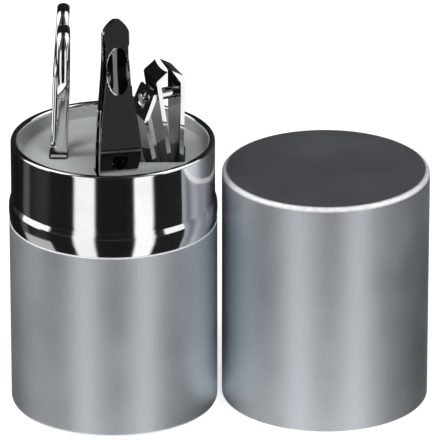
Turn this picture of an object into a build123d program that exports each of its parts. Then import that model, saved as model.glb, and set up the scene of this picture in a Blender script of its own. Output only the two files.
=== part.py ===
from build123d import *
import math
import os

# Manicure set case: a round metal case with a lift-off lid, and three tools standing in its holder.
# Frame: millimetres, +Z up, origin at the centre of the case's flat bottom. The front is towards -Y.

# --- Case: sheet metal --------------------------------------------------------------------
case_d = 66.0            # outer diameter of the satin shell and of the lid
shell_wall = 0.6
shell_h = 62.5           # height of the satin shell
shell_bottom_r = 1.3     # rounded bottom edge
shell_lip_r = 0.45       # rolled outer edge of the mouth
shell_lip_inner_r = 0.1

lid_wall = 0.55
lid_h = 76.9
lid_top_r = 1.6          # rounded top edge
lid_mouth_r = 0.15
lid_play = 0.15          # between the closed lid and the neck, on the radius
lid_stand_gap = 1.55     # between the base and the lid standing beside it
lid_stand_deg = 3.9      # direction of the lid from the base, from +X towards the back

ring_wall = 0.55         # neck wall
band_h = 7.3             # polished band between the satin shell and the neck
band_proud = 0.17        # band stands out past the shell where it is widest
band_wide_h = 3.7        # from the shell's mouth to the widest part of the band
band_foot_in = 0.4       # foot of the band, in from its widest part
band_foot_r = 0.2
band_round = 12.0        # the band bulges gently, with this radius
shoulder_w = 0.62        # sloping shoulder that the closed lid rests on
shoulder_drop = 1.5
shoulder_r = 3.0         # where the shoulder runs into the band
neck_foot_r = 0.5        # where the neck runs into the shoulder
neck_h = 19.4            # from the shoulder to the top of the rolled rim
rim_tube_d = 1.15        # rolled rim
skirt_h = 12.0           # part of the ring inside the shell
skirt_play = 0.05
skirt_end_r = 0.25

# --- Case: plastic insides ----------------------------------------------------------------
cup_wall = 1.2
cup_play = 0.3           # between the inner cup and the ring, on the radius
cup_corner_r = 1.2
cup_floor_r = 0.6
plate_t = 1.6
plate_drop = 5.4         # from the rim to the top of the plate
collar_wall = 1.1
collar_gap = 0.15        # collar stops just under the rolled rim
collar_lip_r = 0.35
collar_foot_r = 0.55
pocket_wall = 0.9
floor_play = 0.1         # between a tool's foot and its pocket's floor
slot_play = 0.5          # between a tool and the sides of its slot
slot_corner_r = 1.2
cut_past = 1.0           # slots are cut this far past the faces

# --- Scissors -----------------------------------------------------------------------------
scissors_inset = 14.35   # pivot, in from the holder's edge on the -X side
scissors_lean_deg = 2.4  # rings lean to +X
pivot_below_plate = 1.2
half_t = 2.5             # thickness of each half at the pivot and in the blade
half_play = 0.03         # between the two halves, on each side
boss_r = 4.6             # round flat around the screw
ring_top = 48.2          # top of the rings above the pivot
ring_w = 17.6            # outer width of a finger ring
ring_h = 24.8            # outer height of a finger ring
ring_gap = 0.7           # between the closed rings
ring_wire = 4.0
ring_round = 1.44        # rounding of the rings' edges
ring_shift = 0.5         # ring's middle from the plane between the halves
ring_tilt_deg = 1.5      # tops of the rings lean together
shank_t = 4.0
shank_w = 3.6
shank_foot_w = 2.88      # where a shank runs into its ring
shank_round = 1.2
shank_shift = 0.8
shank_gap = 0.3          # shank's inner edge from the middle, just above the screw
shank_start = 3.4        # shanks begin this far above the pivot
boss_clear = 0.35        # room around the turning flats
blade_l = 33.0           # from the pivot to the tip
blade_w = 6.2
blade_mid_l = 19.8       # where the blades begin to taper to the tip
blade_mid_w = 5.2
tip_w = 1.0
screw_d = 2.6
screw_head_d = 4.6
screw_head_t = 0.6
pin_play = 0.05          # running clearance of pins, on the radius
scissors_open_deg = 25.0

# --- Nail clippers (both alike); v runs from the jaws to the tail, u from the middle outwards ---
clip_l = 54.8
clip_w = 11.6            # across the jaws
jaw_side_v = 12.0        # sides run straight down to here
clip_mid_w = 9.9
clip_mid_v = 26.9
clip_waist_w = 8.2       # across the narrowest part of the tail
clip_waist_v = 42.5
clip_tail_w = 8.2        # across the shoulders of the pointed ends
point_l = 4.6            # length of the pointed ends
point_bulge_l = 0.6      # at this part of a pointed end's length
point_bulge_w = 0.62     # it still has this part of its width
arm_t = 1.4
flat_l = 8.5             # riveted flats at the tail
jaw_spread = 4.8         # outer half thickness where the jaws bend in
jaw_bend_v = 2.75        # how far the bend lies below the edges
jaw_gap = 1.4            # between the cutting edges at rest
jaw_bend_r = 1.1
jaw_edge_t = 0.9         # thickness of a jaw just behind its edge
jaw_edge_v = 1.7
jaw_root_v = 4.6         # where the inside of a jaw meets the arm
jaw_root_r = 0.7
edge_bow = 0.7           # depth of the curved cutting edges
post_v = 9.6
post_d = 3.8
post_hole_play = 0.3
post_head_d = 5.6
post_head_t = 0.9
post_round = 0.4
post_end_u = 8.6         # end of the post on the lever side
notch_depth = 0.95       # notch in the post for the lever's bar
notch_half_h = 1.15
bar_u = 5.6              # lever's cross bar, on which it tilts
bar_v = 7.4
lever_t = 1.3
hump_u = 9.4             # bend of the lever
hump_v = 15.0
lever_w = 12.8           # across the bend
lever_mid_w = 10.0
lever_mid_v = 28.5
lever_waist_w = 7.2
lever_end_u = 2.9
lever_end_v = 56.3
hump_bend_r = 2.0
tail_tip_half = 0.5      # half width of the blunt tip
window_start = 0.7       # opening in the lever for the post, from the middle of the bar
window_l = 5.4
window_w = 4.6
bar_w = 11.8             # lever's width at the bar
dish_v = 40.0            # thumb dish in the lever
dish_l = 15.0
dish_w = 7.4
dish_depth = 0.5
rivet_inset = 3.3        # rivet, in from the tip of the tail
rivet_d = 2.2
rivet_head_d = 3.6
rivet_head_t = 0.5
rivet_round = 0.3
rivet_free_gap = 0.3     # under the head on the moving arm, room for the arm to flex
rivet_hole_play = 0.1
squeeze_deg = 1.6
lever_swing_deg = 2.0    # lever of clipper A, inside its pocket
tail_play = 0.3          # between clipper A's tail and its pocket's floor

clip_a_inset = 14.95     # clipper A stands jaws up: in from the holder's edge, level with clip_a_ref_v
clip_a_y = 0.1
clip_a_ref_v = 6.0
clip_a_turn_deg = 21.0   # lever side turned from -X towards the front
clip_a_tilt_deg = 4.3    # jaws lean to the lever side
clip_a_top = 30.1        # jaws above the plate

clip_b_left = 15.35      # clipper B stands jaws down, lever side to the front: left of clipper A
clip_b_front = 15.6      # and in front of it
clip_b_turn_deg = 11.0   # lever side turned from -Y towards +X
clip_b_sink = 3.6        # jaws below the plate's top

# --- Sizes that follow --------------------------------------------------------------------
through = 4 * case_d     # reaches past any piece that it cuts
shell_r = case_d / 2
shell_in_r = shell_r - shell_wall
lid_in_r = shell_r - lid_wall
neck_r = lid_in_r - lid_play
neck_in_r = neck_r - ring_wall
band_r = shell_r + band_proud
skirt_r = shell_in_r - skirt_play
shoulder_z = shell_h + band_h
rim_z = shoulder_z + neck_h
cup_r = neck_in_r - cup_play
cup_in_r = cup_r - cup_wall
plate_z = rim_z - plate_drop
under_plate_z = plate_z - plate_t
collar_z = rim_z - rim_tube_d - collar_gap
scissors_x = scissors_inset - cup_r
clip_a_x = cup_r - clip_a_inset
clip_b_x = clip_a_x - clip_b_left
clip_b_y = clip_a_y - clip_b_front
rivet_v = clip_l - rivet_inset
flat_v = clip_l - flat_l
edge_u = jaw_gap / 2


def turned(points, radii):
    """Solid of revolution about Z, from an (r, z) outline with rounded corners."""
    outline = FilletPolyline(*points, radius=radii, close=True)
    return revolve(Plane.XZ * make_face(outline), Axis.Z)


def save(shape, name):
    export_step(shape, f"parts/{name}.step")


# --- Case pieces --------------------------------------------------------------------------
def base_shell():
    points = [
        (0, 0),
        (shell_r, 0),
        (shell_r, shell_h),
        (shell_in_r, shell_h),
        (shell_in_r, shell_wall),
        (0, shell_wall),
    ]
    inner_r = shell_bottom_r - shell_wall
    return turned(points, [0, shell_bottom_r, shell_lip_r, shell_lip_inner_r, inner_r, 0])


def lid_shell():
    inner_r = lid_top_r - lid_wall
    under_top_z = lid_h - lid_wall
    points = [
        (0, lid_h),
        (shell_r, lid_h),
        (shell_r, 0),
        (lid_in_r, 0),
        (lid_in_r, under_top_z),
        (0, under_top_z),
    ]
    shell = turned(points, [0, lid_top_r, lid_mouth_r, lid_mouth_r, inner_r, 0])
    spacing = case_d + lid_stand_gap
    angle = math.radians(lid_stand_deg)
    return Pos(spacing * math.cos(angle), spacing * math.sin(angle)) * shell


def neck_ring():
    rim_r = rim_tube_d / 2
    profile = [
        (neck_in_r, shell_h - skirt_h),
        (skirt_r, shell_h - skirt_h),
        (skirt_r, shell_h),
        (band_r - band_foot_in, shell_h),
        (band_r, shell_h + band_wide_h),
        (neck_r + shoulder_w, shoulder_z - shoulder_drop),
        (neck_r, shoulder_z),
        (neck_r, rim_z - rim_r),
        (neck_in_r, rim_z - rim_r),
    ]
    ring = turned(profile, [0, skirt_end_r, 0, band_foot_r, band_round, shoulder_r, neck_foot_r, 0, 0])
    roll = revolve(Plane.XZ * Pos(neck_r - rim_r, rim_z - rim_r) * Circle(rim_r), Axis.Z)
    return ring + roll


def inner_cup():
    points = [
        (0, shell_wall),
        (cup_r, shell_wall),
        (cup_r, under_plate_z),
        (cup_in_r, under_plate_z),
        (cup_in_r, shell_wall + cup_wall),
        (0, shell_wall + cup_wall),
    ]
    return turned(points, [0, cup_corner_r, 0, 0, cup_floor_r, 0])


def slot_box(bounds, bottom, top):
    """Upright block with rounded corners, from (x0, y0, x1, y1) and two heights."""
    x0, y0, x1, y1 = bounds
    middle = Pos((x0 + x1) / 2, (y0 + y1) / 2, bottom)
    return extrude(middle * RectangleRounded(x1 - x0, y1 - y0, slot_corner_r), top - bottom)


def turned_slot(centre, turn_deg, size, bottom, top):
    """The same block centred on a point and turned about Z."""
    place = Location((centre[0], centre[1], bottom), (0, 0, turn_deg))
    return extrude(place * RectangleRounded(size[0], size[1], slot_corner_r), top - bottom)


def around(shape, bottom, top, play):
    """Plan box around what of a shape lies between two heights, with play on every side."""
    slab = Pos(0, 0, (bottom + top) / 2) * Box(through, through, top - bottom)
    box = (shape & slab).bounding_box()
    return box.min.X - play, box.min.Y - play, box.max.X + play, box.max.Y + play


def grown(bounds, wall):
    x0, y0, x1, y1 = bounds
    return x0 - wall, y0 - wall, x1 + wall, y1 + wall


def holder_plate(slots):
    points = [
        (0, under_plate_z),
        (cup_r, under_plate_z),
        (cup_r, collar_z),
        (cup_r - collar_wall, collar_z),
        (cup_r - collar_wall, plate_z),
        (0, plate_z),
    ]
    plate = turned(points, [0, 0, collar_lip_r, collar_lip_r, collar_foot_r, 0])
    for slot in slots:
        plate -= slot
    return plate


# --- Scissors, about the pivot: x across the halves, y to the back, z up ------------------
def slab(face, x0, x1):
    """A face drawn across (its x to the back, its y up), given its thickness from x0 to x1."""
    return extrude(Plane(origin=(x0, 0, 0), x_dir=(0, 1, 0), z_dir=(1, 0, 0)) * face, x1 - x0)


def scissors_half():
    """The near half, with its ring to the front; the far half is the same, turned half round."""
    ring_y = -(ring_w + ring_gap) / 2
    ring_z = ring_top - ring_h / 2
    hole = Ellipse(ring_w / 2 - ring_wire, ring_h / 2 - ring_wire)
    ring = slab(Ellipse(ring_w / 2, ring_h / 2) - hole, -ring_wire / 2, ring_wire / 2)
    ring = fillet(ring.edges().filter_by(GeomType.ELLIPSE), ring_round)
    ring = Location((ring_shift, ring_y, ring_z), (0, -ring_tilt_deg, 0)) * ring

    foot_z = ring_z - ring_h / 2 + ring_wire
    shank_face = make_face(
        Polyline(
            (-shank_gap, shank_start),
            (-shank_gap - shank_w, shank_start),
            (ring_y - shank_foot_w / 2, foot_z),
            (ring_y + shank_foot_w / 2, foot_z),
            close=True,
        )
    )
    shank = slab(shank_face, shank_shift - shank_t / 2, shank_shift + shank_t / 2)
    shank = fillet(shank.edges().filter_by(lambda edge: edge.length > ring_h / 2), shank_round)
    shank -= Rot(0, 90, 0) * Cylinder(boss_r + boss_clear, through)

    blade_face = make_face(
        Polyline(
            (-blade_w / 2, 0),
            (-blade_mid_w / 2, -blade_mid_l),
            (-tip_w / 2, -blade_l),
            (tip_w / 2, -blade_l),
            (blade_mid_w / 2, -blade_mid_l),
            (blade_w / 2, 0),
            close=True,
        )
    )
    flat = slab(Circle(boss_r) + blade_face + shank_face, half_play, half_t)
    flat -= Rot(0, 90, 0) * Cylinder(screw_d / 2 + pin_play, through)
    flat -= Pos(half_t, 0, 0) * Rot(0, 90, 0) * Cylinder(screw_head_d / 2 + pin_play, 2 * screw_head_t)
    return flat + shank + ring


def scissors_screw():
    """Flat-headed on both sides, its heads sunk flush."""
    shank = Rot(0, 90, 0) * Cylinder(screw_d / 2, 2 * half_t)
    head_t = screw_head_t - pin_play
    head = Pos(half_t - head_t / 2, 0, 0) * Rot(0, 90, 0) * Cylinder(screw_head_d / 2, head_t)
    return shank + head + Rot(0, 0, 180) * head


# --- Nail clipper, about the middle of its cutting edges: x = u, y across, z = v ---
def outer_u(v):
    """Outer face of an arm at v, between its flats and its jaw."""
    return arm_t + (jaw_spread - arm_t) * (flat_v - v) / (flat_v - jaw_bend_v)


def plan(points, start, tip_v):
    """Outline across the clipper: both sides through (half width, v) points, then a pointed end."""
    shoulder = points[-1]
    tip = (tail_tip_half, tip_v)
    arch = (shoulder[0] * point_bulge_w, shoulder[1] + (tip_v - shoulder[1]) * point_bulge_l)
    right = Spline(*points)
    right_arch = ThreePointArc(shoulder, arch, tip)
    left = mirror(right, Plane.YZ)
    left_arch = mirror(right_arch, Plane.YZ)
    top = Line(tip, (-tip[0], tip[1]))
    outline = make_face([right, right_arch, top, left_arch, left, start])
    return extrude(Plane.YZ * outline, clip_l, both=True)


def arm():
    """Spring arm on the lever side, with its jaw."""
    profile = [
        (0, clip_l),
        (arm_t, clip_l),
        (arm_t, flat_v),
        (jaw_spread, jaw_bend_v),
        (edge_u, 0),
        (edge_u + jaw_edge_t, jaw_edge_v),
        (outer_u(jaw_root_v) - arm_t, jaw_root_v),
        (0, flat_v),
    ]
    rounding = [0, 0, 0, jaw_bend_r, 0, jaw_root_r, jaw_root_r, 0]
    outline = FilletPolyline(*profile, radius=rounding, close=True)
    side_view = extrude(Plane.XZ * make_face(outline), clip_w, both=True)
    half = clip_w / 2
    sides = [(half, 0), (half, jaw_side_v), (clip_mid_w / 2, clip_mid_v)]
    sides += [(clip_waist_w / 2, clip_waist_v), (clip_tail_w / 2, clip_l - point_l)]
    edge = ThreePointArc((-half, 0), (0, edge_bow), (half, 0))
    shape = side_view & plan(sides, edge, clip_l)
    shape -= Pos(0, 0, post_v) * Rot(0, 90, 0) * Cylinder(post_d / 2 + post_hole_play, through)
    return shape - Pos(0, 0, rivet_v) * Rot(0, 90, 0) * Cylinder(rivet_d / 2 + rivet_hole_play, through)


def rivet():
    """Fixed under the fixed arm, and loose under its head on the moving arm."""
    foot = -arm_t
    top = arm_t + rivet_free_gap
    shank = Pos((foot + top) / 2, 0, 0) * Rot(0, 90, 0) * Cylinder(rivet_d / 2, top - foot)
    head = Rot(0, 90, 0) * Cylinder(rivet_head_d / 2, rivet_head_t)
    head = fillet(head.edges().sort_by(Axis.X)[-1], rivet_round)
    upper = Pos(top + rivet_head_t / 2, 0, 0) * head
    lower = Pos(foot - rivet_head_t / 2, 0, 0) * Rot(0, 0, 180) * head
    return Pos(0, 0, rivet_v) * (shank + upper + lower)


def post():
    seat = -(outer_u(post_v - post_head_d / 2) + pin_play)
    shank = Pos((seat + post_end_u) / 2, 0, 0) * Rot(0, 90, 0) * Cylinder(post_d / 2, post_end_u - seat)
    shank = fillet(shank.edges().sort_by(Axis.X)[-1], post_round)
    head = Rot(0, 90, 0) * Cylinder(post_head_d / 2, post_head_t)
    head = fillet(head.edges().sort_by(Axis.X)[0], post_round)
    shape = shank + Pos(seat - post_head_t / 2, 0, 0) * head
    notch_bottom = -post_d / 2 + notch_depth
    notch = Pos(bar_u, 0, notch_bottom - post_d / 2) * Box(2 * notch_half_h, 2 * post_d, post_d)
    return Pos(0, 0, post_v) * (shape - notch)


def lever():
    bar = (bar_u, bar_v)
    hump = (hump_u, hump_v)
    end = (lever_end_u, lever_end_v)
    middle = FilletPolyline(bar, hump, end, radius=[hump_bend_r])
    strip = trace(middle, lever_t) + Pos(*bar) * Circle(lever_t / 2)
    side_view = extrude(Plane.XZ * strip, clip_w, both=True)

    start_v = bar_v - lever_t
    sides = [(bar_w / 2, start_v), (lever_w / 2, hump_v), (lever_mid_w / 2, lever_mid_v)]
    sides += [(lever_waist_w / 2, clip_waist_v), (clip_tail_w / 2, lever_end_v - point_l)]
    start = Line((-bar_w / 2, start_v), (bar_w / 2, start_v))
    shape = side_view & plan(sides, start, lever_end_v)

    head_l = math.dist(bar, hump)
    along = ((hump_u - bar_u) / head_l, 0, (hump_v - bar_v) / head_l)
    window_mid = window_start + window_l / 2
    window_at = (bar_u + along[0] * window_mid, 0, bar_v + along[2] * window_mid)
    window = Plane(origin=window_at, x_dir=(0, 1, 0), z_dir=along) * Box(window_w, 4 * lever_t, window_l)
    shape -= window

    slope = math.degrees(math.atan2(hump_u - lever_end_u, lever_end_v - hump_v))
    dish_u = hump_u - (dish_v - hump_v) * math.tan(math.radians(slope)) + lever_t / 2
    dish = extrude(Plane.YZ * Ellipse(dish_w / 2, dish_l / 2), dish_depth, both=True)
    return shape - Location((dish_u, 0, dish_v), (0, -slope, 0)) * dish


def clipper():
    """The five pieces, by the name that follows the clipper's own."""
    moving = arm()
    fixed = mirror(moving, Plane.YZ)
    return {"fixed_arm": fixed, "moving_arm": moving, "rivet": rivet(), "post": post(), "lever": lever()}


# --- Where the tools stand ----------------------------------------------------------------
pivot_z = plate_z - pivot_below_plate
scissors_place = Location((scissors_x, 0, pivot_z), (0, scissors_lean_deg, 0))

a_turn = math.radians(clip_a_turn_deg)
a_tilt = math.radians(clip_a_tilt_deg)
a_out = Vector(-math.cos(a_turn), -math.sin(a_turn), 0)
a_down = Vector(0, 0, -1) * math.cos(a_tilt) - a_out * math.sin(a_tilt)
a_side = a_down.cross(a_out).normalized()
a_ref = Vector(clip_a_x, clip_a_y, plate_z + clip_a_top - clip_a_ref_v)
a_origin = a_ref - a_down * clip_a_ref_v
clip_a_place = Plane(origin=a_origin, x_dir=a_side.cross(a_down), z_dir=a_down).location

b_turn = math.radians(clip_b_turn_deg)
b_out = Vector(math.sin(b_turn), -math.cos(b_turn), 0)
b_origin = Vector(clip_b_x, clip_b_y, plate_z - clip_b_sink)
clip_b_place = Plane(origin=b_origin, x_dir=b_out, z_dir=(0, 0, 1)).location


def main():
    os.makedirs("parts", exist_ok=True)

    pieces = clipper()
    clippers = {}
    for letter, place in (("a", clip_a_place), ("b", clip_b_place)):
        clippers[letter] = {name: place * piece for name, piece in pieces.items()}
        for name, piece in clippers[letter].items():
            save(piece, f"clipper_{letter}_{name}")

    half = scissors_half()
    save(scissors_place * half, "scissors_near_half")
    save(scissors_place * Rot(0, 0, 180) * half, "scissors_far_half")
    save(scissors_place * scissors_screw(), "scissors_screw")

    # Slots in the plate and the pockets under them, each around the tool that stands in it.
    half_x = half_t + slot_play
    slot_y = boss_r + boss_clear
    scissors_slot = (scissors_x - half_x, -slot_y, scissors_x + half_x, slot_y)
    lean_x = blade_l * math.sin(math.radians(scissors_lean_deg))
    swing_y = blade_l * math.sin(math.radians(scissors_open_deg)) + tip_w + slot_play
    blade_room = (scissors_slot[0] - lean_x, -swing_y, scissors_slot[2], scissors_slot[3])
    blade_floor = pivot_z - blade_l - floor_play

    tool_a = Compound(children=list(clippers["a"].values()))
    tail_z = tool_a.bounding_box().min.Z
    swing = (clip_a_top - bar_v + plate_t) * math.tan(math.radians(lever_swing_deg))
    x0, y0, x1, y1 = around(tool_a, tail_z, plate_z, slot_play)
    deep_slot = (x0 + swing * a_out.X, y0 + swing * a_out.Y, x1, y1)
    deep_floor = tail_z - tail_play

    b_floor = plate_z - clip_b_sink - floor_play
    b_length = 2 * (jaw_spread + slot_play)
    b_width = clip_w + 2 * slot_play

    def b_block(grow, bottom, top):
        """Block around clipper B's jaws, grown on all four sides."""
        size = (b_length + 2 * grow, b_width + 2 * grow)
        return turned_slot((clip_b_x, clip_b_y), clip_b_turn_deg + 90, size, bottom, top)

    top = plate_z + cut_past
    bottom = under_plate_z - cut_past
    slots = [slot_box(scissors_slot, bottom, top), slot_box(deep_slot, bottom, top)]
    slots.append(b_block(0, bottom, top))
    save(holder_plate(slots), "holder_plate")

    def pocket(bounds, floor):
        body = slot_box(grown(bounds, pocket_wall), floor - pocket_wall, under_plate_z)
        return body - slot_box(bounds, floor, under_plate_z + cut_past)

    save(pocket(blade_room, blade_floor), "scissors_pocket")
    save(pocket(deep_slot, deep_floor), "deep_pocket")
    shallow = b_block(pocket_wall, b_floor - pocket_wall, under_plate_z) - b_block(0, b_floor, top)
    save(shallow, "shallow_pocket")

    save(base_shell(), "base_shell")
    save(neck_ring(), "neck_ring")
    save(inner_cup(), "inner_cup")
    save(lid_shell(), "lid_shell")


main()
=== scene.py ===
import math

import bmesh
import bpy
from mathutils import Euler, Matrix, Vector


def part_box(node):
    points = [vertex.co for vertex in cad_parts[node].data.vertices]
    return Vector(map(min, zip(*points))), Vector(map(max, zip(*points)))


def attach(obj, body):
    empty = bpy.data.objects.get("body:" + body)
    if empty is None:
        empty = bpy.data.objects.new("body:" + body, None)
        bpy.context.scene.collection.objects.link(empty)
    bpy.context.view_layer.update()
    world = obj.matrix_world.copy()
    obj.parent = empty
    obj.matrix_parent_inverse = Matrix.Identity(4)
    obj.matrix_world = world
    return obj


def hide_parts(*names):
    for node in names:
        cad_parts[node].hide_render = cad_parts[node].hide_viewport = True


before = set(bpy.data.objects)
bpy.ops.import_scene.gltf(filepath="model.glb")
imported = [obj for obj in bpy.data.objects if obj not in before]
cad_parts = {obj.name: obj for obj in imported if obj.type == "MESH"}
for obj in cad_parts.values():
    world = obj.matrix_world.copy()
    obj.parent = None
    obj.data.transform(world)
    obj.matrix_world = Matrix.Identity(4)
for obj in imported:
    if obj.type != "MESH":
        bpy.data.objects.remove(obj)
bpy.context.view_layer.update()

mm = 0.001


# --- Satin shell -----------------------------------------------------------------------------------
# The lower body of the case: a deep-drawn steel cup, bead-blasted to a silver satin. Its mouth is
# trimmed and rolled to a lip with a painted highlight, which the polished neck's band sits on.
case_r = 33.0 * mm
shell_wall = 0.6 * mm
shell_h = 61.95 * mm
shell_foot_round = 1.3 * mm
shell_lip_round = 0.45 * mm
shell_lip_inner_round = 0.1 * mm
shell_inside_round = 0.7 * mm
shell_worn_band = 0.35 * mm
shell_worn_fade = 0.25 * mm
satin_silver = (0.735, 0.785, 0.83)
worn_silver = (0.86, 0.86, 0.85)
# the colour of the painted highlight on the rounded top edges
painted_highlight_white = (0.93, 0.93, 0.93)
satin_tint = (0.85, 0.85, 0.85, 1)
steps_around = 192


def edges_of(verts):
    """The edges that meet at the given corners."""
    return list({edge for vert in verts for edge in vert.link_edges})


def corner_rounded(bm, at, radius, steps):
    """Rounds one corner of a flat outline."""
    corner = min(bm.verts, key=lambda vert: (vert.co - Vector((at[0], 0, at[1]))).length)
    bmesh.ops.bevel(
        bm, geom=[corner], offset=radius, segments=steps, affect="VERTICES", profile=0.5, material=-1
    )


def spun(bm):
    """Turns an outline once round the case's axis and closes it."""
    bmesh.ops.spin(
        bm,
        geom=bm.verts[:] + bm.edges[:],
        cent=(0, 0, 0),
        axis=(0, 0, 1),
        angle=math.tau,
        steps=steps_around,
        use_merge=True,
    )
    bmesh.ops.remove_doubles(bm, verts=bm.verts, dist=1e-6)
    bmesh.ops.recalc_face_normals(bm, faces=bm.faces)


def piece_from(name, bm, sharp_deg=40):
    """Makes the bmesh a piece with smooth shading that breaks at sharp edges."""
    for face in bm.faces:
        face.smooth = True
    for edge in bm.edges:
        edge.smooth = len(edge.link_faces) != 2 or edge.calc_face_angle() < math.radians(sharp_deg)
    mesh = bpy.data.meshes.new(name)
    bm.to_mesh(mesh)
    bm.free()
    piece = bpy.data.objects.new(name, mesh)
    bpy.context.scene.collection.objects.link(piece)
    return piece


def turned(name, outline, rounds, centre=(0.0, 0.0)):
    """A thin round piece, spun from an outline of (radius, height); rounds are (corner, radius, steps)."""
    bm = bmesh.new()
    bm.faces.new([bm.verts.new((r, 0, z)) for r, z in outline])
    for corner, radius, steps in rounds:
        corner_rounded(bm, outline[corner], radius, steps)
    bmesh.ops.delete(bm, geom=bm.faces[:], context="FACES_ONLY")
    on_axis = [edge for edge in bm.edges if all(vert.co.x < 1e-7 for vert in edge.verts)]
    bmesh.ops.delete(bm, geom=on_axis, context="EDGES")
    spun(bm)
    bmesh.ops.translate(bm, verts=bm.verts, vec=(centre[0], centre[1], 0))
    return piece_from(name, bm)


def new_material(name):
    """A material with its node tree, shader and object coordinates."""
    material = bpy.data.materials.new(name)
    material.use_nodes = True
    tree = material.node_tree
    shader = tree.nodes["Principled BSDF"]
    where = tree.nodes.new("ShaderNodeTexCoord").outputs["Object"]
    return material, tree, shader, where


def noise(tree, where, scale, detail=3.0, rough=0.5, stretch=(1, 1, 1)):
    """Noise over the piece; scale is in lumps per metre."""
    mapping = tree.nodes.new("ShaderNodeMapping")
    mapping.inputs["Scale"].default_value = stretch
    tree.links.new(where, mapping.inputs["Vector"])
    node = tree.nodes.new("ShaderNodeTexNoise")
    node.inputs["Scale"].default_value = scale
    node.inputs["Detail"].default_value = detail
    node.inputs["Roughness"].default_value = rough
    tree.links.new(mapping.outputs["Vector"], node.inputs["Vector"])
    return node.outputs["Fac"]


def spread(tree, value, low, high, from_low=0.3, from_high=0.7):
    """Maps a grey value to the range low to high."""
    node = tree.nodes.new("ShaderNodeMapRange")
    node.inputs["From Min"].default_value = from_low
    node.inputs["From Max"].default_value = from_high
    node.inputs["To Min"].default_value = low
    node.inputs["To Max"].default_value = high
    tree.links.new(value, node.inputs["Value"])
    return node.outputs["Result"]


def maths(tree, operation, first, second=None):
    """One sum; each value is a number or a socket."""
    node = tree.nodes.new("ShaderNodeMath")
    node.operation = operation
    for socket, value in zip(node.inputs, (first, second)):
        if isinstance(value, (int, float)):
            socket.default_value = value
        elif value is not None:
            tree.links.new(value, socket)
    return node.outputs[0]


def blended(tree, factor, first, second):
    """Colour from first to second by factor; either may be a colour or a socket."""
    node = tree.nodes.new("ShaderNodeMix")
    node.data_type = "RGBA"
    tree.links.new(factor, node.inputs["Factor"])
    for socket, colour in (("A", first), ("B", second)):
        entry = next(i for i in node.inputs if i.name == socket and i.type == "RGBA")
        if isinstance(colour, tuple):
            entry.default_value = (*colour, 1)
        else:
            tree.links.new(colour, entry)
    return next(o for o in node.outputs if o.type == "RGBA")


def clouded(tree, cloud, colour, dulled):
    """A colour that drifts a little darker over the piece."""
    return blended(tree, spread(tree, cloud, 0, 1), tuple(channel * dulled for channel in colour), colour)


def marked(tree, name):
    """How strongly the piece's own mark of that name covers a point."""
    node = tree.nodes.new("ShaderNodeAttribute")
    node.attribute_name = name
    return node.outputs["Fac"]


def bumped(tree, shader, height, distance, strength=1.0, after=None):
    """Adds bump from a height value; returns the normal for a further layer."""
    node = tree.nodes.new("ShaderNodeBump")
    node.inputs["Distance"].default_value = distance
    node.inputs["Strength"].default_value = strength
    tree.links.new(height, node.inputs["Height"])
    if after is not None:
        tree.links.new(after, node.inputs["Normal"])
    tree.links.new(node.outputs["Normal"], shader.inputs["Normal"])
    return node.outputs["Normal"]


def height_mask(tree, where, level, fade, above=True):
    """1 above a height and 0 below it (or the reverse), over a short fade."""
    split = tree.nodes.new("ShaderNodeSeparateXYZ")
    tree.links.new(where, split.inputs["Vector"])
    low, high = (0.0, 1.0) if above else (1.0, 0.0)
    return spread(tree, split.outputs["Z"], low, high, level - fade / 2, level + fade / 2)


def satin_metal(name, colour, worn_level, worn_fade, worn_above):
    """Blasted steel, worn above or below a height, with a painted highlight of less metallic white where
    the piece is marked.
    """
    material, tree, shader, where = new_material(name)
    cloud = noise(tree, where, 55, 4, 0.55)
    grain = noise(tree, where, 5200, 2, 0.6)
    rubs = noise(tree, where, 900, 4, 0.6)
    tone = clouded(tree, cloud, colour, 0.93)
    mask = height_mask(tree, where, worn_level, worn_fade, worn_above)
    worn = maths(tree, "MULTIPLY", mask, spread(tree, rubs, 0.2, 1.0, 0.4, 0.6))
    tone = blended(tree, worn, tone, worn_silver)
    # painted highlight: the marked edge turns a bright, less metallic white that stands in for a reflection
    painted_edge_highlight = maths(tree, "MULTIPLY", marked(tree, "painted_edge_highlight"), spread(tree, rubs, 0.7, 1.0, 0.4, 0.6))
    tone = blended(tree, painted_edge_highlight, tone, painted_highlight_white)
    tree.links.new(tone, shader.inputs["Base Color"])
    tree.links.new(spread(tree, painted_edge_highlight, 0.98, 0.25, 0, 1), shader.inputs["Metallic"])
    shader.inputs["Specular Tint"].default_value = satin_tint
    tree.links.new(spread(tree, cloud, 0.44, 0.50), shader.inputs["Roughness"])
    grained = bumped(tree, shader, grain, 0.012 * mm, 0.5)
    bumped(tree, shader, noise(tree, where, 60, 2), 0.1 * mm, 0.25, grained)
    return material


def paint_edge_highlight(piece, top, radius, centre=(0, 0)):
    """Marks how strongly each point of a rounded top edge takes the painted highlight, most where the
    rounding faces up and out.
    """
    up_gain, out_gain = 2.4, 2.0
    mark = piece.data.attributes.new("painted_edge_highlight", "FLOAT", "POINT")
    for vert, value in zip(piece.data.vertices, mark.data):
        outward = math.hypot(vert.co.x - centre[0], vert.co.y - centre[1]) - (case_r - radius)
        upward = vert.co.z - (top - radius)
        high = max(0, min(1, up_gain * upward / radius))
        value.value = high * max(0, min(1, out_gain * outward / radius))


shell = turned(
    "satin_shell",
    [
        (0, 0),
        (case_r, 0),
        (case_r, shell_h),
        (case_r - shell_wall, shell_h),
        (case_r - shell_wall, shell_wall),
        (0, shell_wall),
    ],
    [
        (1, shell_foot_round, 8),
        (2, shell_lip_round, 6),
        (3, shell_lip_inner_round, 3),
        (4, shell_inside_round, 4),
    ],
)
# painted highlight along the shell's rolled lip
paint_edge_highlight(shell, shell_h, shell_lip_round)
shell.data.materials.append(
    satin_metal("satin_shell", satin_silver, shell_h - shell_worn_band, shell_worn_fade, True)
)
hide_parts("base_shell")
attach(shell, "case")


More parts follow.
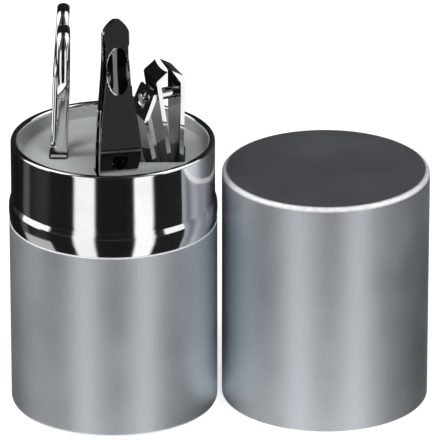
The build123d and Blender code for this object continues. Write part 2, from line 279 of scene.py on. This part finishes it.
# --- Polished neck ---------------------------------------------------------------------------------
# A turned ring pressed into the shell: a bright band over the shell's lip, a rounded shoulder with the
# ledge that the lid lands on, and a tall neck that ends in a rolled rim. Polished and chrome plated.
neck_foot_z = 50.5 * mm
neck_fit_r = 32.35 * mm
band_gap = 0.02 * mm
band_foot_r = 32.84 * mm
band_foot_round = 0.15 * mm
band_r = 33.17 * mm
band_round = 1.6 * mm
band_wide_z = 66.2 * mm
shoulder_r = 32.92 * mm
shoulder_round = 0.55 * mm
shoulder_drop = 1.5 * mm
shoulder_z = 69.8 * mm
ledge_round = 0.2 * mm
neck_r = 32.3 * mm
neck_in_r = 31.75 * mm
flare = 0.03 * mm
flare_h = 3.0 * mm
flare_run = 0.25 * mm
rim_z = 89.2 * mm
rim_r = 1.05 * mm
rim_steps = 20
neck_chrome = (0.86, 0.86, 0.87)
# the near-black painted shade below a height, and its fade
painted_shade_black = (0.022, 0.016, 0.017)
painted_shade_fade = 0.5 * mm

neck = turned(
    "polished_neck",
    [
        (neck_in_r, neck_foot_z),
        (neck_fit_r, neck_foot_z),
        (neck_fit_r, shell_h + band_gap),
        (band_foot_r, shell_h + band_gap),
        (band_r, band_wide_z),
        (shoulder_r, shoulder_z - shoulder_drop),
        (neck_r + flare, shoulder_z),
        (neck_r + flare, shoulder_z + flare_h),
        (neck_r, shoulder_z + flare_h + flare_run),
        (neck_r, rim_z - rim_r),
        (neck_in_r, rim_z - rim_r),
    ],
    [
        (3, band_foot_round, 4),
        (4, band_round, 10),
        (5, shoulder_round, 8),
        (6, ledge_round, 5),
    ],
)

bm = bmesh.new()
tube = bmesh.ops.create_circle(bm, segments=rim_steps, radius=rim_r, cap_ends=False)["verts"]
bmesh.ops.rotate(bm, verts=tube, matrix=Matrix.Rotation(math.pi / 2, 3, "X"))
bmesh.ops.translate(bm, verts=tube, vec=(neck_r - rim_r, 0, rim_z - rim_r))
spun(bm)
rim = piece_from("rolled_rim", bm, sharp_deg=180)


def polished_metal(name, colour, roughness, waves, rub_stretch, shade_below=None, flats_shade=None):
    """Bright plating with hairline rubs and a faint bloom; waves are (lumps per metre, depth, stretch).

    It takes a near-black painted shade below a height, and a painted shade colour where the piece is marked
    flat.
    """
    wave_scale, wave_depth, wave_stretch = waves
    material, tree, shader, where = new_material(name)
    tone = clouded(tree, noise(tree, where, 90, 4, 0.6), colour, 0.9)
    # painted shade: near black below the given height
    if shade_below is not None:
        tone = blended(tree, height_mask(tree, where, shade_below, painted_shade_fade, above=False), tone, painted_shade_black)
    if flats_shade is not None:
        tone = blended(tree, marked(tree, "flat"), tone, flats_shade)
    tree.links.new(tone, shader.inputs["Base Color"])
    shader.inputs["Metallic"].default_value = 1.0
    rubs = noise(tree, where, 500, 5, 0.7, rub_stretch)
    tree.links.new(spread(tree, rubs, roughness, roughness * 2.2, 0.45, 0.75), shader.inputs["Roughness"])
    wavy = bumped(tree, shader, noise(tree, where, wave_scale, 2, 0.4, wave_stretch), wave_depth)
    bumped(tree, shader, rubs, 0.002 * mm, 0.6, wavy)
    return material


neck_metal = polished_metal("neck_chrome", neck_chrome, 0.06, (110, 0.02 * mm, (1, 1, 0.35)), (1, 1, 6))
for part in (neck, rim):
    part.data.materials.append(neck_metal)
    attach(part, "case")
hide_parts("neck_ring")


# --- Holder ------------------------------------------------------------------------------------------
# A moulded grey plastic cup with a plate across its mouth, slots for the tools and pockets under them.
# Light sage grey, with the fine spark-eroded texture of a mould.
sage_grey = (0.40, 0.425, 0.405)
dust_grey = (0.74, 0.76, 0.74)


def moulded_plastic(name, colour):
    """Matte plastic with a little dust on it."""
    material, tree, shader, where = new_material(name)
    cloud = noise(tree, where, 70, 3, 0.5)
    dust = spread(tree, noise(tree, where, 420, 6, 0.7), 0, 0.35, 0.55, 0.8)
    tone = blended(tree, dust, clouded(tree, cloud, colour, 0.9), dust_grey)
    tree.links.new(tone, shader.inputs["Base Color"])
    tree.links.new(spread(tree, cloud, 0.5, 0.62), shader.inputs["Roughness"])
    shader.inputs["Specular IOR Level"].default_value = 0.4
    bumped(tree, shader, noise(tree, where, 3800, 2, 0.6), 0.02 * mm, 0.5)
    return material


holder_plastic = moulded_plastic("holder_plastic", sage_grey)
for node in ("inner_cup", "holder_plate", "scissors_pocket", "deep_pocket", "shallow_pocket"):
    cad = bpy.data.objects[node]
    cad.data.materials.clear()
    cad.data.materials.append(holder_plastic)


# --- Lid ---------------------------------------------------------------------------------------------
# A deep-drawn steel lid in the same blasted silver finish, standing mouth down beside the case. Its top
# edge is rounded tight and carries a painted highlight along its rounding.
lid_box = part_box("lid_shell")
lid_centre = ((lid_box[0][0] + lid_box[1][0]) / 2, (lid_box[0][1] + lid_box[1][1]) / 2)
lid_h = 76.9 * mm
lid_wall = 0.55 * mm
lid_top_round = 1.6 * mm
lid_mouth_round = 0.15 * mm
lid_inside_round = 1.0 * mm
lid_worn_band = 0.35 * mm
lid_worn_fade = 0.4 * mm
lid = turned(
    "satin_lid",
    [
        (0, lid_h),
        (case_r, lid_h),
        (case_r, 0),
        (case_r - lid_wall, 0),
        (case_r - lid_wall, lid_h - lid_wall),
        (0, lid_h - lid_wall),
    ],
    [
        (1, lid_top_round, 12),
        (2, lid_mouth_round, 3),
        (3, lid_mouth_round, 3),
        (4, lid_inside_round, 6),
    ],
    lid_centre,
)
# painted highlight along the lid's rounded top edge
paint_edge_highlight(lid, lid_h, lid_top_round, lid_centre)
lid.data.materials.append(satin_metal("satin_lid", satin_silver, lid_worn_band, lid_worn_fade, False))
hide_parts("lid_shell")
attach(lid, "lid")


# --- Scissors ----------------------------------------------------------------------------------------
# Two forged halves, ground flat where they slide on each other, chrome plated and held by a screw with
# flush heads. Each finger ring is a bent wire with a soft ridge along its inside and outside.
tool_silver = (0.84, 0.835, 0.83)
tool_waves = (200, 0.014 * mm, (1, 1, 0.6))
tool_rubs = (1, 1, 5)
tool_chrome = polished_metal("tool_chrome", tool_silver, 0.04, tool_waves, tool_rubs)
scissors_axes = Matrix.Translation((-17.1 * mm, 0, 82.6 * mm)) @ Matrix.Rotation(math.radians(2.4), 4, "Y")
boss_top_z = 4.7 * mm
boss_half_w = 4.0 * mm
forged_ease = 0.12 * mm
shank_x = 0.8
shank_depth = 4.0
shank_foot = (-2.1, 3.6, 3.4)
shank_top = (-9.15, 2.88, 28.2)
shank_round = 1.35 * mm
ring_middle = Vector((0.5, -9.15, 35.8)) * mm
ring_half_w = 8.8 * mm
ring_half_h = 12.4 * mm
ring_lean_deg = -1.5
ring_steps = 96
# Half of the ring's wire, from its outer edge to its inner one, as (inwards, sideways) in mm.
ring_section = [
    (0, 0),
    (0.15, 0.75),
    (0.42, 1.45),
    (0.85, 1.85),
    (1.5, 2.0),
    (2.5, 2.0),
    (3.25, 1.75),
    (3.8, 1.1),
    (4.0, 0.35),
]
screw_ease = 0.08 * mm


def of_kind(items, kind):
    """Only the corners, edges or faces of what an operator returns."""
    return [item for item in items if isinstance(item, kind)]


def cad_copy(node, axes):
    """The node's mesh, merged and with its flat faces joined, in the tool's own axes."""
    bm = bmesh.new()
    bm.from_mesh(bpy.data.objects[node].data)
    bmesh.ops.remove_doubles(bm, verts=bm.verts, dist=2e-6)
    bmesh.ops.transform(bm, verts=bm.verts, matrix=axes.inverted())
    joined_flat(bm)
    return bm


def joined_flat(bm):
    """Joins the faces that lie in one plane."""
    bmesh.ops.dissolve_limit(bm, angle_limit=math.radians(0.6), verts=bm.verts, edges=bm.edges)


def edges_eased(bm, width, steps=2, sharper_than=35):
    """Breaks the sharp edges of a ground or stamped piece."""
    bm.normal_update()
    sharp = [
        edge
        for edge in bm.edges
        if len(edge.link_faces) == 2 and edge.calc_face_angle() > math.radians(sharper_than)
    ]
    bmesh.ops.bevel(
        bm,
        geom=sharp,
        offset=width,
        segments=steps,
        affect="EDGES",
        profile=0.5,
        material=-1,
        clamp_overlap=True,
    )


def cut_off(bm, at, way):
    """Takes off what lies beyond a plane and closes the cut."""
    geom = bm.verts[:] + bm.edges[:] + bm.faces[:]
    cut = bmesh.ops.bisect_plane(bm, geom=geom, plane_co=at, plane_no=way, clear_outer=True)["geom_cut"]
    bmesh.ops.contextual_create(bm, geom=of_kind(cut, bmesh.types.BMEdge))


def tool_piece(name, bm, axes, node, body, finish):
    """Finishes a piece that stands for a CAD node."""
    bmesh.ops.transform(bm, verts=bm.verts, matrix=axes)
    bmesh.ops.recalc_face_normals(bm, faces=bm.faces)
    piece = piece_from(name, bm, sharp_deg=30)
    flats_shade = piece.modifiers.new("flats_shade", "WEIGHTED_NORMAL")
    flats_shade.keep_sharp = True
    flats_shade.weight = 90
    piece.data.materials.append(finish)
    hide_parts(node)
    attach(piece, body)


def finger_ring(bm):
    """Sweeps the wire's section round an ellipse, row by row."""
    rows = ring_section + [(inwards, -sideways) for inwards, sideways in reversed(ring_section)]
    verts = bmesh.ops.create_circle(bm, segments=ring_steps, radius=1, cap_ends=False)["verts"]
    bmesh.ops.rotate(bm, verts=verts, matrix=Matrix.Rotation(math.pi / 2, 3, "Y"))
    bmesh.ops.scale(bm, verts=verts, vec=(1, ring_half_w, ring_half_h))
    made = list(verts)
    edges = edges_of(verts)
    last_inwards, last_sideways = rows[0]
    for inwards, sideways in rows[1:]:
        inwards, sideways = inwards * mm, sideways * mm
        new = bmesh.ops.extrude_edge_only(bm, edges=edges)["geom"]
        verts = of_kind(new, bmesh.types.BMVert)
        edges = of_kind(new, bmesh.types.BMEdge)
        grow = [(half - inwards) / (half - last_inwards) for half in (ring_half_w, ring_half_h)]
        bmesh.ops.scale(bm, verts=verts, vec=(1, *grow))
        bmesh.ops.translate(bm, verts=verts, vec=(sideways - last_sideways, 0, 0))
        last_inwards, last_sideways = inwards, sideways
        made += verts
    bmesh.ops.rotate(bm, verts=made, matrix=Matrix.Rotation(math.radians(ring_lean_deg), 3, "Y"))
    bmesh.ops.translate(bm, verts=made, vec=ring_middle)


def shank(bm):
    """The leaning bar between the boss and the finger ring, rounded along its length."""
    verts = bmesh.ops.create_cube(bm, size=1)["verts"]
    for vert in verts:
        middle, width, height = shank_top if vert.co.z > 0 else shank_foot
        vert.co = Vector((shank_x + shank_depth * vert.co.x, middle + width * vert.co.y, height)) * mm
    bmesh.ops.bevel(
        bm,
        geom=[edge for edge in edges_of(verts) if edge.calc_length() > 15 * mm],
        offset=shank_round,
        segments=7,
        affect="EDGES",
        profile=0.5,
        material=-1,
    )


def scissors_half(name, node, body, turn):
    """The CAD half up to its boss, with a rounded shank and a ridged ring in place of the plain ones."""
    axes = scissors_axes @ Matrix.Rotation(turn, 4, "Z")
    bm = cad_copy(node, axes)
    cut_off(bm, (0, 0, boss_top_z), (0, 0, 1))
    for side in (-1, 1):
        cut_off(bm, (0, side * boss_half_w, 0), (0, side, 0))
    edges_eased(bm, forged_ease)
    shank(bm)
    finger_ring(bm)
    bmesh.ops.remove_doubles(bm, verts=bm.verts, dist=1e-7)
    tool_piece(name, bm, axes, node, body, tool_chrome)


scissors_half("near_half", "scissors_near_half", "scissors", 0)
scissors_half("far_half", "scissors_far_half", "scissors_far", math.pi)
bm = cad_copy("scissors_screw", scissors_axes)
edges_eased(bm, screw_ease)
tool_piece("screw", bm, scissors_axes, "scissors_screw", "scissors", tool_chrome)


# --- Nail clippers -----------------------------------------------------------------------------------
# Two spring arms, riveted at the tail and ground to curved jaws, a turning post and a stamped lever
# with a thumb dish. All chrome plated; the stamped edges are broken by tumbling.
stamped_ease = 0.14 * mm
dish_middle = Vector((6.115, 0, 40.0)) * mm
dish_slope = math.atan2(6.5, 41.3)
dish_l = 15.0 * mm
dish_w = 7.4 * mm
dish_recess = 0.5 * mm
bowl_depth = 0.95 * mm
bowl_curve = 1.15
bowl_rows_across = 9
bowl_rows_along = 14
crease_z = 94.6 * mm
# painted shade for clipper A's broad faces, a darkened reflection
faces_painted_shade = (0.30, 0.31, 0.305)
# painted shade in the thumb dish, which dims its reflection
dish_painted_shade = (0.16, 0.145, 0.145)
lever_waves = (200, 0.006 * mm, (1, 1, 0.6))


def clipper_axes(origin, out, down):
    """From the clipper's own axes (out to the lever, across, jaws to tail) to the case's."""
    out = Vector(out).normalized()
    down = Vector(down).normalized()
    across = down.cross(out)
    axes = Matrix((across.cross(down), across, down)).transposed().to_4x4()
    return Matrix.Translation(Vector(origin) * mm) @ axes


a_turn, a_tilt, b_turn = math.radians(21), math.radians(4.3), math.radians(11)
a_out = Vector((-math.cos(a_turn), -math.sin(a_turn), 0))
a_down = Vector((0, 0, -1)) * math.cos(a_tilt) - a_out * math.sin(a_tilt)
b_out = (math.sin(b_turn), -math.cos(b_turn), 0)
clippers = {
    "a": clipper_axes((16.080, -0.0612, 113.883), a_out, a_down),
    "b": clipper_axes((1.15, -15.5, 80.2), b_out, (0, 0, 1)),
}


def thumb_dish(bm):
    """Makes the recess in the lever's outer face a smooth pressed bowl, and marks it flat for a painted
    shade.
    """
    flat = bm.faces.layers.float.new("flat")
    local = Matrix.Translation(dish_middle) @ Matrix.Rotation(-dish_slope, 4, "Y")
    bmesh.ops.transform(bm, verts=bm.verts, matrix=local.inverted())
    floor = [
        vert for vert in bm.verts if abs(vert.co.x + dish_recess) < 0.05 * mm and abs(vert.co.z) < dish_l
    ]
    recess = {
        face
        for vert in floor
        for face in vert.link_faces
        if all(abs(v.co.z) < 0.51 * dish_l and v.co.x > -1.2 * dish_recess for v in face.verts)
    }
    bmesh.ops.delete(bm, geom=list(recess), context="FACES")
    bmesh.ops.contextual_create(bm, geom=[edge for edge in bm.edges if len(edge.link_faces) == 1])
    joined_flat(bm)
    bm.normal_update()
    outer = [
        face
        for face in bm.faces
        if face.normal.x > 0.999 and abs(face.calc_center_median().x) < 0.1 * mm
    ]
    for size, rows, way in (
        (dish_w, bowl_rows_across, Vector((0, 1, 0))),
        (dish_l, bowl_rows_along, Vector((0, 0, 1))),
    ):
        for row in range(-rows - 1, rows + 2):
            geom = outer + list({edge for face in outer for edge in face.edges})
            geom += list({vert for face in outer for vert in face.verts})
            at = way * (size / 2 * row / rows)
            outer = of_kind(
                bmesh.ops.bisect_plane(bm, geom=geom, plane_co=at, plane_no=way)["geom"], bmesh.types.BMFace
            )

    def away(place):
        """0 in the middle of the bowl and 1 at its rim."""
        return (2 * place.y / dish_w) ** 2 + (2 * place.z / dish_l) ** 2

    for face in outer:
        face[flat] = 1.0 if away(face.calc_center_median()) < 1 else 0.0
    for vert in {vert for face in outer for vert in face.verts}:
        if away(vert.co) < 1:
            vert.co.x -= bowl_depth * (1 - away(vert.co)) ** bowl_curve
    bmesh.ops.transform(bm, verts=bm.verts, matrix=local)


shaded_faces_chrome = polished_metal("shaded_faces_chrome", tool_silver, 0.05, tool_waves, tool_rubs, flats_shade=faces_painted_shade)
# clipper B's lever and post: near-black painted shade below the crease, and painted shade in the thumb dish
shaded_leg_chrome = polished_metal("shaded_leg_chrome", tool_silver, 0.04, lever_waves, tool_rubs, crease_z, dish_painted_shade)
finishes = {
    "clipper_a_fixed_arm": shaded_faces_chrome,
    "clipper_a_moving_arm": shaded_faces_chrome,
    "clipper_a_rivet": shaded_faces_chrome,
    "clipper_a_lever": shaded_faces_chrome,
    "clipper_b_lever": shaded_leg_chrome,
    "clipper_b_post": shaded_leg_chrome,
}
bodies = {
    "fixed_arm": "clipper_{}",
    "rivet": "clipper_{}",
    "moving_arm": "clipper_{}_arm",
    "post": "clipper_{}_swivel",
    "lever": "clipper_{}_handle",
}
for letter, axes in clippers.items():
    for part, body in bodies.items():
        node = f"clipper_{letter}_{part}"
        bm = cad_copy(node, axes)
        if part == "lever":
            thumb_dish(bm)
        edges_eased(bm, stamped_ease)
        bm.normal_update()
        # clipper A's broad faces are marked for a painted shade that darkens their reflection
        if letter == "a":
            flat = bm.faces.layers.float.get("flat") or bm.faces.layers.float.new("flat")
            for face in bm.faces:
                face[flat] = 1.0 if abs(face.normal.x) > 0.8 else 0.0
        tool_piece(f"{part}_{letter}", bm, axes, node, body.format(letter), finishes.get(node, tool_chrome))


# --- Studio ------------------------------------------------------------------------------------------
# A white table under two soft boxes, in a plain white room. Polished metal sees a darker room, with
# bright windows, cards and soft boxes between dark flags, which give it contrast from every side.
table_size = 3.0
table_shade = (0.90, 0.90, 0.90)
table_white = (0.92, 0.92, 0.92)
table_seen = (0.5, 0.5, 0.5)
table_glow = 0.72
room_light = 0.42

bm = bmesh.new()
bmesh.ops.create_grid(bm, x_segments=2, y_segments=2, size=table_size)
floor = piece_from("table_top", bm)
floor.visible_glossy = False
table, tree, shader, where = new_material("table_top")
shader.inputs["Roughness"].default_value = 0.9
paper = blended(tree, spread(tree, noise(tree, where, 12, 3), 0, 1), table_shade, table_white)
seen = tree.nodes.new("ShaderNodeLightPath").outputs["Is Camera Ray"]
tree.links.new(blended(tree, seen, paper, table_seen), shader.inputs["Base Color"])
shader.inputs["Emission Color"].default_value = (1, 1, 1, 1)
tree.links.new(spread(tree, seen, 0.0, table_glow, 0, 1), shader.inputs["Emission Strength"])
floor.data.materials.append(table)

world = bpy.data.worlds.new("studio")
bpy.context.scene.world = world
world.use_nodes = True
tree = world.node_tree
background = tree.nodes["Background"]
direction = tree.nodes.new("ShaderNodeTexCoord").outputs["Generated"]
split = tree.nodes.new("ShaderNodeSeparateXYZ")
tree.links.new(direction, split.inputs["Vector"])
height = maths(tree, "ARCSINE", split.outputs["Z"])
bearing = maths(tree, "ARCTAN2", split.outputs["X"], maths(tree, "MULTIPLY", split.outputs["Y"], -1))

# Brightness of the walls by bearing, in degrees from the front towards +X.
walls = [
    (-180, 0.02),
    (-140, 0.008),
    (-122, 0.012),
    (-116, 0.10),
    (-110, 0.10),
    (-104, 0.018),
    (-92, 0.034),
    (-80, 0.036),
    (-72, 0.014),
    (-45, 0.012),
    (-41.5, 1.1),
    (-21, 1.1),
    (-18, 0.012),
    (23.5, 0.012),
    (25.5, 1.17),
    (44.5, 1.17),
    (48, 0.014),
    (88, 0.02),
    (150, 0.03),
    (180, 0.02),
]
ramp = tree.nodes.new("ShaderNodeValToRGB")
tree.links.new(spread(tree, bearing, 0, 1, -math.pi, math.pi), ramp.inputs["Fac"])
stops = ramp.color_ramp.elements
while len(stops) < len(walls):
    stops.new(0.5)
# All the places come first, because moving a stop can change the order of the stops.
for stop, (place, level) in zip(stops, walls):
    stop.position = (place + 180) / 360
for stop, (place, level) in zip(stops, walls):
    stop.color = (level, level * 0.985, level * 0.99, 1)


def rising(angle, start, end):
    """0 below the start and 1 above the end, in degrees."""
    return spread(tree, angle, 0, 1, math.radians(start), math.radians(end))


def falling(angle, start, end):
    """1 below the start and 0 above the end, in degrees."""
    return spread(tree, angle, 1, 0, math.radians(start), math.radians(end))


def band(angle, low, high, fade):
    """1 where the angle lies between low and high, in degrees, with soft ends."""
    rise = rising(angle, low - fade / 2, low + fade / 2)
    return maths(tree, "MULTIPLY", rise, falling(angle, high - fade / 2, high + fade / 2))


def card(low, high, left, right):
    """1 inside a patch of the surround, by height and bearing in degrees."""
    return maths(tree, "MULTIPLY", band(height, low, high, 3), band(bearing, left, right, 3))


either_side = maths(tree, "ADD", band(bearing, -112, -58, 12), band(bearing, 58, 112, 12))
# What covers the walls, each over the one before, as (where, its light).
covers = [
    # the dark room above the soft boxes, and a faint glow behind the table's edge
    (maths(tree, "MULTIPLY", rising(height, 20, 30), 0.9), (0.012, 0.012, 0.014)),
    (maths(tree, "MULTIPLY", band(height, -9, 5, 5), 0.02), (1.0, 1.0, 1.0)),
    # a grey card low on the left, and the table near the case
    (card(-75, -27, -118, -74), (0.52, 0.52, 0.52)),
    (falling(height, -52, -44), (1.6, 1.6, 1.6)),
    # windows to the left and right, and a light over each side
    (maths(tree, "MAXIMUM", card(-11, 38, -113, -84), card(-3, 20, -88, -72)), (1.2, 1.18, 1.2)),
    (card(-3, 22, 58, 112), (1.1, 1.1, 1.1)),
    (maths(tree, "MULTIPLY", band(height, 26, 64, 16), either_side), (1.8, 1.8, 1.8)),
]
surround = ramp.outputs["Color"]
for cover, light in covers:
    surround = blended(tree, cover, surround, light)
paths = tree.nodes.new("ShaderNodeLightPath")
gloss = maths(tree, "MAXIMUM", paths.outputs["Is Glossy Ray"], paths.outputs["Is Transmission Ray"])
in_view = maths(tree, "MAXIMUM", gloss, paths.outputs["Is Camera Ray"])
tree.links.new(blended(tree, gloss, (1.0, 1.0, 1.0), surround), background.inputs["Color"])
tree.links.new(spread(tree, in_view, room_light, 1.0, 0, 1), background.inputs["Strength"])

lit_place = Vector((0.034, 0, 0.05))
for side, place, energy in (("left", (-0.54, -0.31, 0.85), 5.5), ("right", (0.36, -0.60, 0.80), 5.0)):
    lamp = bpy.data.lights.new(f"{side}_soft_box", "AREA")
    lamp.energy = energy
    lamp.shape = "RECTANGLE"
    lamp.size = 0.30
    lamp.size_y = 0.50
    lamp_object = bpy.data.objects.new(f"{side}_soft_box", lamp)
    bpy.context.scene.collection.objects.link(lamp_object)
    lamp_object.location = place
    lamp_object.rotation_euler = (lit_place - lamp_object.location).to_track_quat("-Z", "Y").to_euler()
    lamp_object.visible_glossy = False


# --- Camera ------------------------------------------------------------------------------------------
# A long lens two metres in front of the case, looking down at it by 23 degrees, with both the case and
# its lid in the frame.
camera_tilt = math.radians(23.191)
look_at = Vector((33.82, 0, 60.91)) * mm
distance = 1971.2 * mm
camera = bpy.data.cameras.new("camera")
camera.sensor_width = 36
camera.lens = 508.43
camera.clip_end = 20
camera_object = bpy.data.objects.new("camera", camera)
bpy.context.scene.collection.objects.link(camera_object)
camera_object.location = look_at - distance * Vector((0, math.cos(camera_tilt), -math.sin(camera_tilt)))
camera_object.rotation_euler = Euler((math.pi / 2 - camera_tilt, 0, 0))
bpy.context.scene.camera = camera_object
bpy.context.scene.view_settings.view_transform = "Standard"
